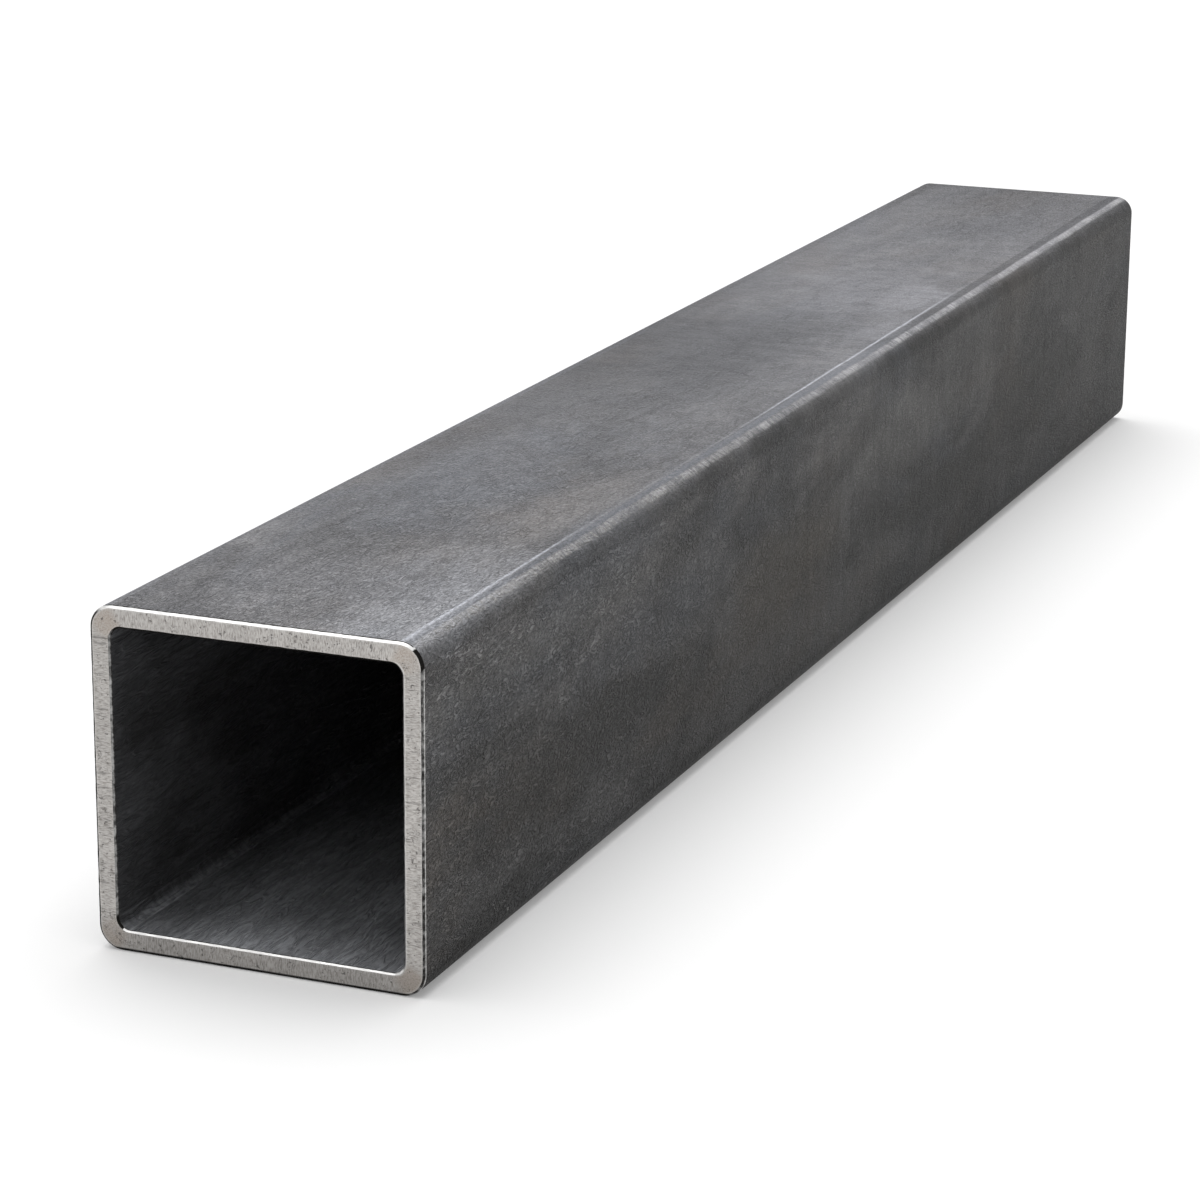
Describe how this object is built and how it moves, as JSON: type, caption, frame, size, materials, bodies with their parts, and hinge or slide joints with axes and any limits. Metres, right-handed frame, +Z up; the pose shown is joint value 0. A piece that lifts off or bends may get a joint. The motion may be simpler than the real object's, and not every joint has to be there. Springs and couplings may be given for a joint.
{
  "type": "square metal tube",
  "caption": "Square hollow steel section with rounded corners, wall about a sixteenth of its width, sawn square at both ends; a length of raw framing stock.",
  "frame": {"origin": "middle of the underside, halfway between the two sawn ends and halfway across", "axes": "+Y along the tube, from the near sawn end to the far one; +Z up, square to the face that the tube lies on; +X to the right when looking along +Y"},
  "size_m": [0.1, 0.75, 0.1],
  "materials": {
    "mill_scale_steel": "satin"
  },
  "bodies": {
    "root": {"square_tube": "mill_scale_steel"}
  },
  "joints": []
}
